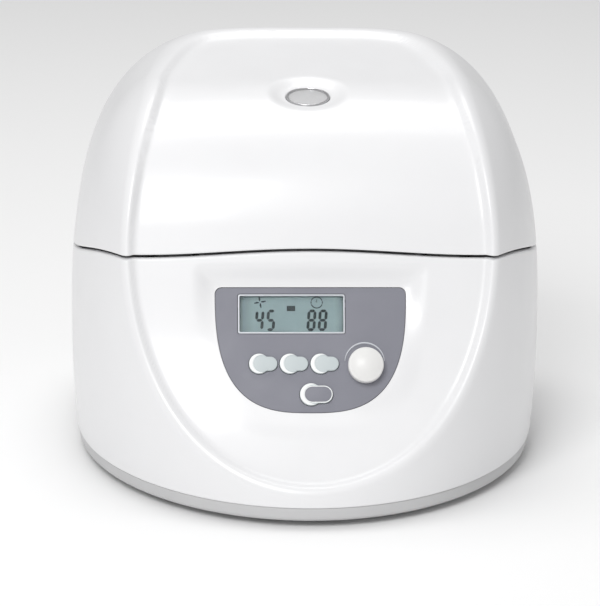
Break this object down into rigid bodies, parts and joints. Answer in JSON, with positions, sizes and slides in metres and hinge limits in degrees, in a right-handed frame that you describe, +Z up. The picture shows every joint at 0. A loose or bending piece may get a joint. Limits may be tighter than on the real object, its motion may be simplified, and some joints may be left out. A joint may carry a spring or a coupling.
{
  "type": "bench centrifuge for microplates",
  "caption": "Low white bench centrifuge with a domed hinged lid, a round sight glass, a grey U-shaped control panel with display, keys and knob, and a rotor for upright plates.",
  "frame": {"origin": "on the bench under the middle of the machine", "axes": "+X to the right seen from the front, +Y to the rear, +Z up"},
  "size_m": [0.283, 0.3336, 0.2414],
  "materials": {
    "body_white": "satin moulded shell with a faint grain",
    "inner_white": "matt moulded inner face",
    "tray_grey": "matt grey moulding",
    "panel_grey": "matt grey moulded face plate",
    "key_pale": "matt pale keys",
    "knob_white": "pearl white",
    "frame_pale": "light satin trim",
    "lcd_window": "clear, faintly grey",
    "lcd_module": "grey green display",
    "board_green": "coated circuit board",
    "steel": "brushed",
    "zinc_steel": "plated screws and pins",
    "rotor_alloy": "satin anodised",
    "black_rubber": "matt",
    "grey_rubber": "matt seal",
    "black_plastic": "matt moulding",
    "motor_dark": "dark coat",
    "contact_brass": "bare contacts",
    "sight_clear": "clear window"
  },
  "bodies": {
    "base": {"base_housing": "body_white", "base_tray": "tray_grey", "rubber_feet": "black_rubber", "top_deck": "inner_white", "chamber_bowl": "steel", "chamber_gasket": "grey_rubber", "shaft_boot": "black_rubber", "motor_plate": "steel", "motor_dampers": "black_rubber", "motor_stator": "motor_dark", "hinge_brackets": "steel", "hinge_pins": "zinc_steel", "lock_bodies": "black_plastic", "control_panel": "panel_grey", "display_frame": "frame_pale", "display_window": "lcd_window", "display_module": "lcd_module", "panel_board": "board_green", "knob_arc": "frame_pale", "speed_encoder": "zinc_steel", "main_board": "board_green", "power_supply": "zinc_steel", "rear_plate": "tray_grey", "power_inlet": "black_plastic", "inlet_pins": "contact_brass", "fuse_drawer": "black_plastic", "switch_frame": "black_plastic", "fan_frame": "black_plastic", "vent_grille": "black_plastic", "deck_screws": "zinc_steel", "foot_screws": "zinc_steel"},
    "rotor": {"drive_shaft": "zinc_steel", "rotor_hub": "rotor_alloy", "plate_cradle_left": "rotor_alloy", "plate_cradle_right": "rotor_alloy", "cradle_springs": "zinc_steel", "cradle_screws": "zinc_steel", "rotor_nut": "zinc_steel"},
    "lid": {"lid_shell": "body_white", "lid_liner": "inner_white", "lid_drum": "inner_white", "sight_tube": "inner_white", "sight_ring": "zinc_steel", "sight_glass": "sight_clear", "hinge_leaves": "steel", "lid_strikers": "zinc_steel", "liner_screws": "zinc_steel", "hinge_screws": "zinc_steel"},
    "left_bolt": {"lock_bolt_left": "zinc_steel"},
    "right_bolt": {"lock_bolt_right": "zinc_steel"},
    "key_one": {"key_one": "key_pale"},
    "key_two": {"key_two": "key_pale"},
    "key_three": {"key_three": "key_pale"},
    "start_key": {"start_key": "key_pale"},
    "knob": {"knob": "knob_white", "knob_shaft": "zinc_steel"},
    "power_rocker": {"power_rocker": "black_plastic"},
    "fan": {"fan_rotor": "black_plastic"}
  },
  "joints": [
    {"name": "lid_hinge", "type": "hinge", "parent": "base", "child": "lid", "pos_m": [0, 0.16407, 0.123], "axis": [-1, 0, 0], "range_deg": [0, 80]},
    {"name": "rotor_spin", "type": "hinge", "parent": "base", "child": "rotor", "pos_m": [0, 0.017, 0.06], "axis": [0, 0, 1], "continuous": true},
    {"name": "left_bolt_slide", "type": "slide", "parent": "base", "child": "left_bolt", "axis": [1, 0, 0], "range_m": [0, 0.007]},
    {"name": "right_bolt_slide", "type": "slide", "parent": "base", "child": "right_bolt", "axis": [-1, 0, 0], "range_m": [0, 0.007]},
    {"name": "key_one_press", "type": "slide", "parent": "base", "child": "key_one", "axis": [0, 0.8829, -0.4695], "range_m": [0, 0.0012], "stiffness_N_per_m": 900, "springref_m": -0.0006},
    {"name": "key_two_press", "type": "slide", "parent": "base", "child": "key_two", "axis": [0, 0.8829, -0.4695], "range_m": [0, 0.0012], "stiffness_N_per_m": 900, "springref_m": -0.0006},
    {"name": "key_three_press", "type": "slide", "parent": "base", "child": "key_three", "axis": [0, 0.8829, -0.4695], "range_m": [0, 0.0012], "stiffness_N_per_m": 900, "springref_m": -0.0006},
    {"name": "start_key_press", "type": "slide", "parent": "base", "child": "start_key", "axis": [0, 0.8829, -0.4695], "range_m": [0, 0.0012], "stiffness_N_per_m": 900, "springref_m": -0.0006},
    {"name": "knob_turn", "type": "hinge", "parent": "base", "child": "knob", "pos_m": [0.0315, -0.11706, 0.08234], "axis": [0, -0.8829, 0.4695], "continuous": true},
    {"name": "rocker_tilt", "type": "hinge", "parent": "base", "child": "power_rocker", "pos_m": [0.048, 0.1585, 0.086], "axis": [1, 0, 0], "range_deg": [-8, 8]},
    {"name": "fan_spin", "type": "hinge", "parent": "base", "child": "fan", "pos_m": [-0.036, 0.15, 0.066], "axis": [0, 1, 0], "continuous": true}
  ],
  "couplings": [
    {"joint": "right_bolt_slide", "follows": "left_bolt_slide", "ratio": 1}
  ]
}
